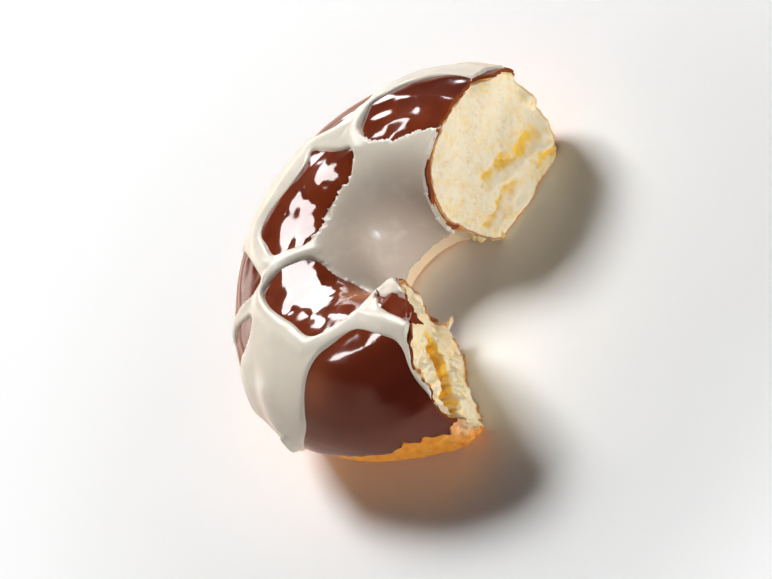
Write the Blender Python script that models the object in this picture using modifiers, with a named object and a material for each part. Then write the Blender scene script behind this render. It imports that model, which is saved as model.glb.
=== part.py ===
# A ring doughnut with about a third of it torn away: a C of fried dough, a
# chocolate coat over its upper part, and a net of white icing over the coat.
#
# The ring is laid out by two angles. The ring angle theta goes round the hole,
# counter-clockwise from +X, and the tube angle phi goes round the dough itself:
# 0 outwards, 90 up, 180 towards the hole, 270 down.

import math

import bmesh
import bpy
import numpy as np
from mathutils import Vector

# Driving dimensions, in metres
RING_RADIUS = 0.0270  # hole's centre to the middle of the tube
HALF_WIDTH = 0.0164  # of the tube of dough
CROWN = 0.0146  # from the tube's widest level up to its top
BELLY = 0.0165  # the same downwards, before the bottom is flattened
HEEL = 0.38  # power of the cosine low in the hole; 1 is round, less fills out the corner
FLAT_DEPTH = 0.0140  # from the widest level down to the flat bottom
COAT = 0.0009  # thickness of the chocolate
ICING = 0.0009  # thickness of the icing
GAP = 0.0003  # kept between two layers that touch

# How far the ring is from round: (lobes, how much, ring angle of a lobe)
LOBES = ((2, 0.0004, -10.0), (3, 0.0004, -26.0))

# Resolution
RING_STEP = 7.5  # degrees of ring angle between two sections
TUBE_SIDES = 24
LAYER_SIDES = 32  # of a whole tube, for the coat and the icing

# Torn ends: ring angle at the middle of the tube, and how it changes across and up
END_A = {"angle": 15.0, "across": 0.5, "up": 3.0, "saddle": 3.5, "twist": -1.0, "phase": 0.4}
END_B = {"angle": 244.5, "across": 4.4, "up": 3.1, "saddle": -2.0, "twist": -3.0, "phase": 2.1}
TEAR_CUTS = (23, 11, 19)  # in the missing piece: across the tube, round the ring, upwards

# How much further round the ring each torn end's rim lies, by bearing on the section, in degrees
END_A["rim"] = (
    (-100, -2.0), (-85, 2.0), (-55, 3.5), (-38, 1.5), (-30, 2.5), (-17, -1.8), (0, 2.7), (30, 0.0),
    (50, -0.5), (66, 4.0), (92, 1.0), (116, -2.3), (140, -5.5), (160, -6.9), (186, -2.4),
    (205, -3.0), (225, -9.0), (238, -2.0), (260, -2.0),
)
END_B["rim"] = (
    (-100, 1.0), (-85, 1.2), (-67, -2.5), (-57, -4.0), (-28, -0.4), (-9, 2.7), (8, -0.6),
    (24, -0.8), (38, -1.8), (56, -2.8), (71, -3.4), (84, 3.0), (103, 6.5), (115, 7.0), (125, 5.0),
    (140, 0.0), (156, 1.3), (172, 0.0), (190, -3.0), (202, -7.0), (206, -1.0), (213, 2.0),
    (221, 1.0), (227, 0.0), (260, 1.0),
)

# Edges of the layers, in degrees of tube angle
COAT_EDGES = (0.0, 203.0)
ICING_EDGES = (2.0, 207.0)

# Drips at the icing's outer edge: (ring angle, degrees they hang down, half width)
DRIPS = (
    (20.0, 7.0, 8.0),
    (53.0, 9.0, 5.0),
    (97.0, 8.0, 6.0),
    (117.0, 11.0, 5.0),
    (176.0, 9.0, 6.0),
    (190.0, 15.0, 6.0),
)

# Cells of the net, where the chocolate is bare: corners as (theta, phi), which
# are rounded off. A cell that opens onto an edge or a torn end runs past it.
CELLS = {
    "crown_a": ((2, 57), (30, 67), (56, 74), (66, 94), (56, 110), (38, 115), (2, 106)),
    "crown_b": ((68, 101), (82, 119), (102, 126), (122, 127), (142, 118), (142, 92),
                (122, 73), (103, 85), (86, 79)),
    "crown_c": ((143, 129), (163, 139), (182, 154), (210, 153), (225, 124), (208, 92),
                (182, 90), (156, 80), (150, 104)),
    "crown_d": ((232, 128), (239, 106), (249, 85), (260, 79), (260, 122), (246, 126)),
    "side_a": ((0, 52), (10, 51), (24, 38), (43, 36), (48, 18), (46, -20), (0, -20)),
    "side_b": ((55, 58), (62, 78), (78, 80), (87, 58), (89, 20), (84, -20), (60, -20), (54, 24)),
    "side_c": ((93, 45), (108, 54), (122, 42), (118, 16), (106, 8), (94, 18)),
    "side_d": ((123, 28), (129, 66), (148, 87), (153, 80), (152, 20), (150, -20), (127, -20)),
    "side_e": ((155, 62), (160, 77), (171, 60), (172, 24), (162, 14), (156, 30)),
    "side_f": ((204, 88), (228, 98), (240, 84), (244, 70), (244, 30), (250, 14), (260, 10),
               (260, -20), (194, -20), (203, 20), (207, 42), (202, 62)),
}
CELL_SIDE = 12.0  # degrees between the points along a straight side
CELL_DEPTH = 0.001  # of a cell's cutter below the icing
CELL_HEIGHT = 0.003  # and above it

# Look of each piece: linear colour, roughness, metallic
LOOKS = {
    "dough": ((0.78, 0.52, 0.24), 0.85, 0.0),
    "chocolate_coating": ((0.13, 0.022, 0.010), 0.18, 0.0),
    "white_icing": ((0.76, 0.70, 0.58), 0.35, 0.0),
}


def ring_radius(theta):
    """Radius of the tube's middle line, a circle with a few shallow lobes."""
    radius = RING_RADIUS
    for lobes, amount, angle in LOBES:
        radius += amount * math.cos(lobes * (theta - math.radians(angle)))
    return radius


def skin_point(theta, phi, offset):
    """Point at the two angles, in radians, lying offset outside the dough."""
    height = BELLY
    reach = math.cos(phi)
    if math.sin(phi) > 0:
        height = CROWN
    elif reach < 0:
        reach = -(abs(reach) ** HEEL)
    radius = ring_radius(theta) + (HALF_WIDTH + offset) * reach
    level = FLAT_DEPTH + (height + offset) * math.sin(phi)
    return Vector((radius * math.cos(theta), radius * math.sin(theta), max(level, 0.0)))


def tear_relief(across, up, phase):
    """Height of a torn face, in metres, at places across and up the tube (-1 to 1)."""
    hills = 0.0009 * math.sin(2.6 * across + 3.7 * up + phase)
    knobs = 0.0005 * math.sin(6.3 * across - 4.4 * up + 2.0 * phase)
    return hills + knobs * math.cos(5.0 * up + phase)


def rim_reach(table, across, up):
    """Degrees by which a torn face runs on towards its rim, smoothed over the table's steps."""
    bearing = (math.degrees(math.atan2(up, across)) + 100.0) % 360.0 - 100.0
    share = min(max((math.hypot(across, up) - 0.3) / 0.65, 0.0), 1.0)
    near = [np.interp(bearing + turn, *zip(*table)) for turn in (-9.0, -3.0, 3.0, 9.0)]
    return sum(near) / len(near) * share * share * (3.0 - 2.0 * share)


def tear_angle(end, radius, level):
    """Ring angle of a torn end at a place in the tube's section."""
    across = (radius - RING_RADIUS) / HALF_WIDTH
    up = (level - FLAT_DEPTH) / CROWN
    lean = end["angle"] + end["across"] * across + end["up"] * up
    lean += end["saddle"] * (across ** 2 - up ** 2) + end["twist"] * across * up
    lean += rim_reach(end["rim"], across, up)
    return math.radians(lean) + tear_relief(across, up, end["phase"]) / RING_RADIUS


def material(name):
    color, roughness, metallic = LOOKS[name]
    look = bpy.data.materials.new(name)
    look.use_nodes = True
    shader = look.node_tree.nodes["Principled BSDF"]
    shader.inputs["Base Color"].default_value = (*color, 1.0)
    shader.inputs["Roughness"].default_value = roughness
    shader.inputs["Metallic"].default_value = metallic
    return look


def add_object(name, mesh, collection, centre):
    """Object in its collection, carried by the empty at the ring's centre."""
    item = bpy.data.objects.new(name, mesh)
    item.parent = centre
    collection.objects.link(item)
    if name in LOOKS:
        mesh.materials.append(material(name))
        mesh.shade_smooth()
        mesh.set_sharp_from_angle(angle=math.radians(40.0))
    else:
        item.hide_render = True
        item.display_type = "WIRE"
    return item


def cut(item, cutter):
    step = item.modifiers.new("cut_" + cutter.name, "BOOLEAN")
    step.operation = "DIFFERENCE"
    step.solver = "EXACT"
    step.object = cutter


def dough_ring(collection, centre):
    """A torus whose round section is reshaped into the dough's flat-bottomed one."""
    ring = bmesh.new()
    sections = round(360.0 / RING_STEP)
    flat_circle = bmesh.ops.create_circle(
        ring, segments=TUBE_SIDES, radius=HALF_WIDTH, cap_ends=False
    )["verts"]
    for vertex in flat_circle:
        vertex.co = Vector((RING_RADIUS + vertex.co.x, 0.0, vertex.co.y))
    outline = ring.verts[:] + ring.edges[:]
    bmesh.ops.spin(
        ring, geom=outline, cent=(0, 0, 0), axis=(0, 0, 1),
        angle=math.tau, steps=sections, use_merge=True,
    )
    for vertex in ring.verts:
        theta = math.atan2(vertex.co.y, vertex.co.x)
        reach = math.hypot(vertex.co.x, vertex.co.y) - RING_RADIUS
        phi = math.atan2(vertex.co.z, reach)
        vertex.co = skin_point(theta, phi, 0.0)
    bmesh.ops.recalc_face_normals(ring, faces=ring.faces)
    mesh = bpy.data.meshes.new("dough")
    ring.to_mesh(mesh)
    ring.free()
    return add_object("dough", mesh, collection, centre)


def coat_edge(theta):
    """The coat's outer edge, which wavers a little."""
    return COAT_EDGES[0] + 1.5 * math.sin(3.0 * theta + 0.8) + 0.8 * math.sin(7.0 * theta)


def icing_edge(theta):
    """The icing's outer edge, with its drips."""
    edge = ICING_EDGES[0]
    for angle, hang, half_width in DRIPS:
        edge -= hang * math.exp(-(((math.degrees(theta) - angle) / half_width) ** 2))
    return edge


def layer(name, offset, thickness, low_edge, high_edge, collection, centre):
    """A sheet over the tube between two edges, thickened outwards."""
    first = -RING_STEP
    last = END_B["angle"] + 2.5 * RING_STEP
    along = round((last - first) / RING_STEP)
    around = round((high_edge - low_edge(0.0)) / (360.0 / LAYER_SIDES))
    sheet = bmesh.new()
    bmesh.ops.create_grid(sheet, x_segments=along, y_segments=around, size=0.5)
    for vertex in sheet.verts:
        theta = math.radians(first + (vertex.co.x + 0.5) * along * RING_STEP)
        low = low_edge(theta)
        phi = math.radians(low + (vertex.co.y + 0.5) * (high_edge - low))
        vertex.co = skin_point(theta, phi, offset)
    mesh = bpy.data.meshes.new(name)
    sheet.to_mesh(mesh)
    sheet.free()
    item = add_object(name, mesh, collection, centre)
    solid = item.modifiers.new("thickness", "SOLIDIFY")
    solid.thickness = thickness
    solid.offset = 1.0
    solid.use_even_offset = True
    return item


def rounded(corners):
    """A closed outline with its corners cut off, and points along its long sides."""
    outline = []
    for index, place in enumerate(corners):
        start = Vector(place)
        end = Vector(corners[(index + 1) % len(corners)])
        points = 1 + math.ceil(0.5 * (end - start).length / CELL_SIDE)
        for point in range(points + 1):
            outline.append(start.lerp(end, 0.25 + 0.5 * point / points))
    return outline


def cell_cutter(collection, centre):
    """Every cell, as a block that follows the tube from below the icing to above it."""
    under = GAP + COAT + GAP
    blocks = bmesh.new()

    def place(spot, offset):
        return blocks.verts.new(skin_point(math.radians(spot.x), math.radians(spot.y), offset))

    for corners in CELLS.values():
        outline = rounded(corners)
        middle = sum(outline, Vector((0.0, 0.0))) / len(outline)
        rings = []
        for offset, sizes in ((under - CELL_DEPTH, (0.5, 1.0)), (under + CELL_HEIGHT, (1.0, 0.5))):
            for size in sizes:
                rings.append([place(middle.lerp(spot, size), offset) for spot in outline])
        hubs = [place(middle, under - CELL_DEPTH), place(middle, under + CELL_HEIGHT)]
        for index in range(len(outline)):
            after = (index + 1) % len(outline)
            for inner, outer in zip(rings, rings[1:]):
                blocks.faces.new((inner[index], inner[after], outer[after], outer[index]))
            blocks.faces.new((hubs[0], rings[0][after], rings[0][index]))
            blocks.faces.new((hubs[1], rings[-1][index], rings[-1][after]))
    bmesh.ops.recalc_face_normals(blocks, faces=blocks.faces)
    mesh = bpy.data.meshes.new("net_cells")
    blocks.to_mesh(mesh)
    blocks.free()
    return add_object("net_cells", mesh, collection, centre)


def missing_piece(collection, centre):
    """A subdivided cube bent round the ring into the piece that was torn away."""
    low, high = Vector((0.004, -0.005)), Vector((0.056, 0.043))
    block = bmesh.new()
    bmesh.ops.create_cube(block, size=1.0)
    for axis, cuts in enumerate(TEAR_CUTS):
        ends = [
            edge for edge in block.edges
            if abs(edge.verts[0].co[axis] - edge.verts[1].co[axis]) > 0.5
        ]
        bmesh.ops.subdivide_edges(block, edges=ends, cuts=cuts, use_grid_fill=True)
    for vertex in block.verts:
        radius = low.x + (vertex.co.x + 0.5) * (high.x - low.x)
        level = low.y + (vertex.co.z + 0.5) * (high.y - low.y)
        begin = tear_angle(END_B, radius, level)
        finish = tear_angle(END_A, radius, level) + math.tau
        theta = begin + (finish - begin) * (vertex.co.y + 0.5)
        vertex.co = Vector((radius * math.cos(theta), radius * math.sin(theta), level))
    mesh = bpy.data.meshes.new("missing_piece")
    block.to_mesh(mesh)
    block.free()
    return add_object("missing_piece", mesh, collection, centre)


def stand_on_origin(centre, pieces):
    """Move the ring so that the box round all pieces stands centred on the origin."""
    bpy.context.view_layer.update()
    graph = bpy.context.evaluated_depsgraph_get()
    corners = []
    for piece in pieces:
        shown = piece.evaluated_get(graph)
        corners += [shown.matrix_world @ Vector(corner) for corner in shown.bound_box]
    for axis in (0, 1):
        values = [corner[axis] for corner in corners]
        centre.location[axis] -= 0.5 * (min(values) + max(values))


def build():
    for item in list(bpy.data.objects):
        bpy.data.objects.remove(item)
    doughnut = bpy.data.collections.new("torn_doughnut")
    cutters = bpy.data.collections.new("cutters")
    for collection in (doughnut, cutters):
        bpy.context.scene.collection.children.link(collection)
    centre = bpy.data.objects.new("ring_centre", None)
    doughnut.objects.link(centre)

    dough = dough_ring(doughnut, centre)
    coat = layer("chocolate_coating", GAP, COAT, coat_edge, COAT_EDGES[1], doughnut, centre)
    icing = layer(
        "white_icing", GAP + COAT + GAP, ICING, icing_edge, ICING_EDGES[1], doughnut, centre
    )
    missing = missing_piece(cutters, centre)
    cut(icing, cell_cutter(cutters, centre))
    for piece in (dough, coat, icing):
        cut(piece, missing)
    stand_on_origin(centre, (dough, coat, icing))


build()
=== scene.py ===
import math

import bpy
import numpy as np
from mathutils import Matrix, Vector


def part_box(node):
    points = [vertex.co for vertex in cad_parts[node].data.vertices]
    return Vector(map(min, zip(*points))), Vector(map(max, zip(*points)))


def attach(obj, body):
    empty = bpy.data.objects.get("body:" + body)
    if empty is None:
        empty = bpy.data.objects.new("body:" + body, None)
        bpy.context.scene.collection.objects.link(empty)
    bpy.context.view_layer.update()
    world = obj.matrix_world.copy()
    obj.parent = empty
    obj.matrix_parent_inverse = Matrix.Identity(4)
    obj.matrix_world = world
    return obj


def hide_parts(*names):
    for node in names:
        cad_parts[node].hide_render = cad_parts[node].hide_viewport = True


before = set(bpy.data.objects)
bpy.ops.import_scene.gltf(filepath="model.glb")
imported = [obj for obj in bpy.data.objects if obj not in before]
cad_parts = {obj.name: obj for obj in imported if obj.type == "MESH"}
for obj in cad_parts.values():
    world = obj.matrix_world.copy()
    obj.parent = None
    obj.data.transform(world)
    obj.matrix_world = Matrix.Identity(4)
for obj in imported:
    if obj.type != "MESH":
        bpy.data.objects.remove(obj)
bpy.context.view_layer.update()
print("frame loaded")

# Lengths below are in millimetres and angles in degrees; addMesh turns points into metres.
# theta goes round the hole from +X, phi round the tube: 0 outwards, 90 up, 180 to the hole.
metres = 0.001
degree = math.pi / 180.0

ring = {
    "radius": 27.0,  # hole's centre to the middle of the tube
    "halfWidth": 16.4,
    "crown": 14.6,
    "belly": 16.5,
    "heel": 0.38,  # power of the cosine low in the hole, which fills out the corner there
    "flatDepth": 14.0,  # widest level down to the flat bottom
    "lobes": ((2, 0.4, -10.0), (3, 0.4, -26.0)),  # how many, how much, ring angle of a lobe
    "heelRound": 0.8,  # height over which the corner above the flat bottom is rounded
    "swell": 0.2,  # unevenness shared by all layers
    "swellSize": 9.0,
    # places that stand out or lie in: theta, phi, their half widths, how much
    "bulges": (
        (142.0, 20.0, 26.0, 55.0, -1.0),
        (246.0, 126.0, 13.0, 28.0, 1.0),
        (236.0, -43.0, 10.0, 16.0, 0.7),
    ),
}
# Torn ends: ring angle at the middle of the section, what it gains outwards, upwards, on a saddle
# and on a twist, then the phase of its hills, the seed of its noise and how ragged its rim is
endA = {
    "angle": 15.0, "across": 0.5, "up": 3.0, "saddle": 3.5, "twist": -1.0, "phase": 0.4,
    "seed": 3, "ragged": 1.1,
}
endB = {
    "angle": 244.5, "across": 4.4, "up": 3.1, "saddle": -2.0, "twist": -3.0, "phase": 2.1,
    "seed": 8, "ragged": 0.6,
}
# where the rim of the break runs on: bearing on the section, degrees further round
endA["rim"] = (
    (-100, -2.0), (-85, 2.0), (-55, 3.5), (-38, 1.5), (-30, 2.5), (-17, -1.8), (0, 2.7), (30, 0.0),
    (50, -0.5), (66, 4.0), (92, 1.0), (116, -2.3), (140, -5.5), (160, -6.9), (186, -2.4), (205, -3.0),
    (225, -9.0), (238, -2.0), (260, -2.0),
)
endB["rim"] = (
    (-100, 1.0), (-85, 1.2), (-67, -2.5), (-57, -4.0), (-28, -0.4), (-9, 2.7), (8, -0.6), (24, -0.8),
    (38, -1.8), (56, -2.8), (71, -3.4), (84, 3.0), (103, 6.5), (115, 7.0), (125, 5.0), (140, 0.0),
    (156, 1.3), (172, 0.0), (190, -3.0), (202, -7.0), (206, -1.0), (213, 2.0), (221, 1.0), (227, 0.0),
    (260, 1.0),
)


# Form shared by all layers
lattice = np.random.default_rng(11).uniform(-1.0, 1.0, (32, 32, 32))


def noise(spots, size, seed=0):
    # Random numbers at the corners of a cubic lattice, blended across each cube by a smooth step
    place = spots / size + 13.7 * seed + 320.0
    corner = np.floor(place).astype(int)
    part = place - corner
    part = part * part * part * (part * (6.0 * part - 15.0) + 10.0)
    total = np.zeros(spots.shape[:-1])
    for bits in range(8):
        step = np.array([bits & 1, bits >> 1 & 1, bits >> 2])
        weight = np.prod(np.where(step == 1, part, 1.0 - part), axis=-1)
        x, y, z = np.moveaxis((corner + step) % 32, -1, 0)
        total += weight * lattice[x, y, z]
    return total


def smooth(value, low, high):
    # 0 below low, 1 above high, an S curve between them
    part = np.clip((value - low) / (high - low), 0.0, 1.0)
    return part * part * (3.0 - 2.0 * part)


def ringRadius(theta):
    # Ring's radius plus, for each set of lobes, amount times cos(lobes * (theta - angle))
    radius = np.full_like(theta, ring["radius"])
    for lobes, amount, angle in ring["lobes"]:
        radius += amount * np.cos(lobes * (theta - angle) * degree)
    return radius


def mounds(theta, phi, places):
    # Sum over places (theta, phi, their half widths, amount) of the amount times exp(-(theta away
    # / its half width) squared - (phi away / its half width) squared)
    total = 0.0
    for atTheta, atPhi, wideTheta, widePhi, amount in places:
        away = ((theta - atTheta) / wideTheta) ** 2 + ((phi - atPhi) / widePhi) ** 2
        total = total + amount * np.exp(-away)
    return total


def hump(value, amount, middle, halfWidth):
    # Amount times exp(-(distance from the middle / half width) squared)
    return amount * np.exp(-(((value - middle) / halfWidth) ** 2))


def crowdEnds(share, amount):
    # Shares from 0 to 1, closer together at both ends: share - amount * sin(turn * share)
    return share - amount * np.sin(2.0 * math.pi * share)


def lineDistance(x, y, runX, runY):
    # Squared distance to the line from the origin to (runX, runY)
    along = np.clip((x * runX + y * runY) / (runX**2 + runY**2 + 1e-12), 0.0, 1.0)
    return (x - along * runX) ** 2 + (y - along * runY) ** 2


def skinPoint(theta, phi, offset):
    # Out from the tube's middle line by (half width + offset) cos phi, up from the widest level by
    # (crown or belly + offset) sin phi; low in the hole the cosine is raised to the heel's power.
    # The level never falls below 0, with a rounded corner there
    sine, cosine = np.sin(phi * degree), np.cos(phi * degree)
    cosine = np.where((sine < 0) & (cosine < 0), -(np.abs(cosine) ** ring["heel"]), cosine)
    offset = offset + mounds(theta, phi, ring["bulges"])
    height = np.where(sine > 0, ring["crown"], ring["belly"])
    radius = ringRadius(theta) + (ring["halfWidth"] + offset) * cosine
    level = ring["flatDepth"] + (height + offset) * sine
    rounding = np.clip(ring["heelRound"] - np.abs(level), 0.0, None) ** 2 / (4.0 * ring["heelRound"])
    level = np.maximum(level, 0.0) + rounding
    turn = theta * degree
    return np.stack([radius * np.cos(turn), radius * np.sin(turn), level], axis=-1)


def swell(theta, phi):
    # Low hills that every layer follows
    return ring["swell"] * noise(skinPoint(theta, phi, 0.0), ring["swellSize"], 1)


def tubePlace(theta, phi, stretch=1.0):
    # Flat map of the tube's surface in millimetres, for patterns that run along the ring
    along = theta * degree * ring["radius"] / stretch
    return np.stack([along, phi * degree * ring["halfWidth"], np.zeros_like(along)], axis=-1)


def alongScale(theta, phi):
    # Millimetres on the coat for one degree of ring angle
    return degree * (ringRadius(theta) + (ring["halfWidth"] + 1.0) * np.cos(phi * degree))


aroundScale = degree * (ring["halfWidth"] + 1.0)  # millimetres for one degree of tube angle


coat = {
    "around": 128,
    "stations": 350,
    # edges: ring angle, tube angle
    "low": (
        (0, -1.0), (60, 0.5), (130, -0.5), (200, -2.6), (213, -1.4), (220, -2.0), (227, -4.5), (230, -2.2),
        (238, -4.8), (249, -6.0),
    ),
    "high": ((15, 192.0), (39, 200.0), (64, 204.0), (92, 208.0), (109, 205.0), (120, 207.0), (250, 206.0)),
    "outer": 1.2,  # of its outer face above the dough
    "inner": 0.42,  # of its inner face, which lies in the dough
    "tuck": -0.15,  # of its inner face at the edges
    "lip": 1.0,  # width over which the edge is rounded
    # heights of its hills, its waves and its finest ripples, and how lively they are: ring angle,
    # share
    "hills": 0.15,
    "waves": 0.38,
    "lively": (
        (0.0, 0.55), (60.0, 0.60), (75.0, 1.0), (130.0, 1.0), (150.0, 0.8), (190.0, 0.6), (215.0, 0.8),
        (224.0, 1.2), (232.0, 1.6), (237.0, 1.0), (242.0, 0.6), (250.0, 0.5),
    ),
    "fine": 0.03,
    # dents: theta, phi, their half widths, how much
    "dents": (
        (164.0, 94.0, 3.5, 6.0, -0.25), (176.0, 98.0, 3.0, 4.5, -0.20), (40.0, 88.0, 20.0, 7.0, -0.25),
        (128.0, 86.0, 4.0, 5.0, -0.20),
    ),
    "thinsAndLit": (64.0, 92.0),  # tube angles between which its look turns from the dark outer side to the lighter crown: partly the coat thinning, partly painted light and shade
    # lighter, browner places, painted light where the coat catches more light: theta, phi, their
    # half widths, how much
    "lean": ((206.0, 139.0, 20.0, 11.0, 1.0), (209.0, 60.0, 7.0, 18.0, 0.25)),
    "brokenLean": 0.3,  # how light its broken faces are
    "breakAt": 0.9,  # offset from the skin at which its broken edge is worked out
    "setback": 0.05,  # of its broken edge behind the crumb
    "jags": (0.12, 0.15),  # further back where it is jagged, at ends A and B
    # how far it stands over the crumb on top of end A: amount, tube angle, half width
    "forward": (0.55, 47.0, 9.0),
}


def coatLow(theta):
    # Outer edge: the table's points joined up, with small wavers that grow towards end B
    waver = 0.6 + 5.0 * smooth(theta, 222.0, 234.0)
    along = tubePlace(theta, np.zeros_like(theta))
    small = noise(along, 1.3, 9) + 1.1 * noise(along, 0.6, 24)
    return np.interp(theta, *zip(*coat["low"])) + waver * small


def coatHigh(theta):
    # Edge in the hole: the table's points joined up, plus slight wavers
    return np.interp(theta, *zip(*coat["high"])) + 0.8 * noise(tubePlace(theta, 0.0 * theta), 3.0, 10)


def coatDepth(theta, phi):
    # Millimetres from the nearer edge of the coat, negative outside it
    return np.minimum(phi - coatLow(theta), coatHigh(theta) - phi) * aroundScale


def icingHigh(theta):
    # The icing runs a little further down the hole than the coat
    return coatHigh(theta) + 2.3 + 0.7 * noise(tubePlace(theta, 0.0 * theta), 2.0, 11)


def tearAngle(end, across, level):
    # Ring angle of a torn face at millimetres out from the ring's radius and up from the floor: a
    # sloping saddle plus hills, which runs on further towards the rim where the table says. The
    # table is read smoothly inside the face and sharply at the rim, which is also ragged
    a = across / ring["halfWidth"]
    u = (level - ring["flatDepth"]) / ring["crown"]
    lean = end["angle"] + end["across"] * a + end["up"] * u
    lean = lean + end["saddle"] * (a * a - u * u) + end["twist"] * a * u
    hills = 0.9 * np.sin(2.6 * a + 3.7 * u + end["phase"])
    knobs = 0.5 * np.sin(6.3 * a - 4.4 * u + 2.0 * end["phase"]) * np.cos(5.0 * u + end["phase"])
    bearing = (np.degrees(np.arctan2(u, a)) + 100.0) % 360.0 - 100.0
    sharp = sum(np.interp(bearing + turn, *zip(*end["rim"])) for turn in (-3.0, 0.0, 3.0)) / 3.0
    turns = (-18.0, -9.0, 0.0, 9.0, 18.0)
    wide = sum(np.interp(bearing + turn, *zip(*end["rim"])) for turn in turns) / 5.0
    share = smooth(np.hypot(a, u), 0.82, 0.98)
    further = (wide + (sharp - wide) * share) * smooth(np.hypot(a, u), 0.3, 0.95)
    spots = np.stack([across, level, np.full_like(across, 9.0 * end["seed"])], axis=-1)
    ragged = 0.6 * noise(spots, 1.7, 21) + 0.4 * noise(spots, 0.8, 22)
    ragged = ragged * smooth(np.hypot(a, u), 0.75, 1.0)
    return lean + (hills + knobs) / ring["radius"] / degree + further + end["ragged"] * ragged


def rimAngle(end, phi, offset):
    # Ring angle at which the torn face meets the skin: start at its middle and correct six times
    theta = np.full_like(phi, end["angle"])
    for _ in range(6):
        spot = skinPoint(theta, phi, offset)
        theta = tearAngle(end, np.hypot(spot[..., 0], spot[..., 1]) - ring["radius"], spot[..., 2])
    return theta


def ringCentre():
    # The frame's dough reaches its lowest x and highest y at sections 7.5 degrees apart
    turn = np.arange(0.0, 360.0, 7.5)
    reach = ringRadius(turn) + ring["halfWidth"]
    low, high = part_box("dough")
    x = low.x / metres - (reach * np.cos(turn * degree)).min()
    y = high.y / metres - (reach * np.sin(turn * degree)).max()
    return np.array([x, y, 0.0])


centre = ringCentre()


# Meshes
def addMesh(name, points, quads, triangles, look, nodes=(), values=None):
    # Points and faces into one smooth mesh that rides on the frame; values are per point
    faces = [quads.reshape(-1, 4), triangles.reshape(-1, 3)]
    used, faceCorners = np.unique(np.concatenate([part.ravel() for part in faces]), return_inverse=True)
    points = points[used]
    sizes = np.concatenate([np.full(len(part), part.shape[1]) for part in faces])
    starts = np.concatenate([[0], np.cumsum(sizes)[:-1]])
    mesh = bpy.data.meshes.new(name)
    mesh.vertices.add(len(points))
    mesh.vertices.foreach_set("co", ((points + centre) * metres).astype(np.float32).ravel())
    mesh.loops.add(len(faceCorners))
    mesh.loops.foreach_set("vertex_index", faceCorners.astype(np.int32))
    mesh.polygons.add(len(sizes))
    mesh.polygons.foreach_set("loop_start", starts.astype(np.int32))
    mesh.update(calc_edges=True)
    for key, value in (values or {}).items():
        layer = mesh.attributes.new(key, "FLOAT", "POINT")
        layer.data.foreach_set("value", value.ravel()[used].astype(np.float32))
    if signedVolume(points, faceCorners, sizes, starts) < 0:
        mesh.flip_normals()
    mesh.shade_smooth()
    mesh.set_sharp_from_angle(angle=math.radians(55.0))
    mesh.materials.append(look)
    piece = bpy.data.objects.new(name, mesh)
    bpy.context.scene.collection.objects.link(piece)
    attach(piece, "root")
    if nodes:
        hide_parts(*nodes)
    print(name, "made with", int((sizes - 2).sum()), "triangles")
    return piece


def signedVolume(points, corners, sizes, starts):
    # Sum over each face's fan triangles of a . (b x c) / 6
    total = 0.0
    for turn in (1, 2):
        rows = starts[sizes >= turn + 2]
        a, b, c = (points[corners[rows + step]] for step in (0, turn, turn + 1))
        total += np.einsum("ij,ij->", a, np.cross(b, c)) / 6.0
    return total


def shell(outer, inner, keep):
    # Kept quads of the outer grid, the same quads of the inner grid turned over, and a wall on
    # every side of a kept quad that has no kept neighbour
    rows, columns = outer.shape[:2]
    index = np.arange(rows * columns).reshape(rows, columns)
    corners = (index[:-1, :-1], index[1:, :-1], index[1:, 1:], index[:-1, 1:])
    under = rows * columns
    quads = [
        np.stack(corners, axis=-1)[keep],
        np.stack(corners[::-1], axis=-1)[keep] + under,
    ]
    framed = np.pad(keep, 1)
    neighbours = (framed[1:-1, :-2], framed[2:, 1:-1], framed[1:-1, 2:], framed[:-2, 1:-1])
    for side, neighbour in enumerate(neighbours):
        bare = keep & ~neighbour
        first, second = corners[side][bare], corners[(side + 1) % 4][bare]
        quads.append(np.stack([second, first, first + under, second + under], axis=-1))
    points = np.concatenate([outer.reshape(-1, 3), inner.reshape(-1, 3)])
    return points, np.concatenate(quads)


def onBothFaces(values):
    # A shell's points are its outer grid and then its inner one, and each value holds on both
    return {key: np.concatenate([value.ravel()] * 2) for key, value in values.items()}


noTriangles = np.zeros((0, 3), int)


# Looks
def newLook(name):
    look = bpy.data.materials.new(name)
    look.use_nodes = True
    tree = look.node_tree
    return look, tree, tree.nodes["Principled BSDF"]


def setInputs(node, values):
    for key, value in values.items():
        node.inputs[key].default_value = value


def addNode(tree, kind, values=None, links=None, **settings):
    node = tree.nodes.new(kind)
    for key, value in settings.items():
        setattr(node, key, value)
    setInputs(node, values or {})
    for key, socket in (links or {}).items():
        tree.links.new(socket, node.inputs[key])
    return node


def noiseNode(tree, size, detail=2.0, roughness=0.5):
    # Noise on Object coordinates; size is in millimetres
    place = addNode(tree, "ShaderNodeTexCoord")
    values = {"Scale": 1.0 / (size * metres), "Detail": detail, "Roughness": roughness}
    return addNode(tree, "ShaderNodeTexNoise", values, {"Vector": place.outputs["Object"]}).outputs["Fac"]


def mapRange(tree, socket, low, high, toLow=0.0, toHigh=1.0):
    values = {"From Min": low, "From Max": high, "To Min": toLow, "To Max": toHigh}
    node = addNode(tree, "ShaderNodeMapRange", values, {"Value": socket}, interpolation_type="SMOOTHSTEP")
    return node.outputs["Result"]


def combine(tree, operation, first, second):
    # first and second are either numbers or sockets
    node = addNode(tree, "ShaderNodeMath", operation=operation)
    for socket, value in zip(node.inputs, (first, second)):
        if isinstance(value, (int, float)):
            socket.default_value = value
        else:
            tree.links.new(value, socket)
    return node.outputs["Value"]


def mixColor(tree, factor, first, second, blend="MIX"):
    # first and second are either colours or sockets
    node = addNode(tree, "ShaderNodeMix", data_type="RGBA", blend_type=blend)
    for socket, value in ((node.inputs[0], factor), (node.inputs[6], first), (node.inputs[7], second)):
        if isinstance(value, (int, float)):
            socket.default_value = value
        elif isinstance(value, tuple):
            socket.default_value = (*value, 1.0)
        else:
            tree.links.new(value, socket)
    return node.outputs[2]


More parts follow.
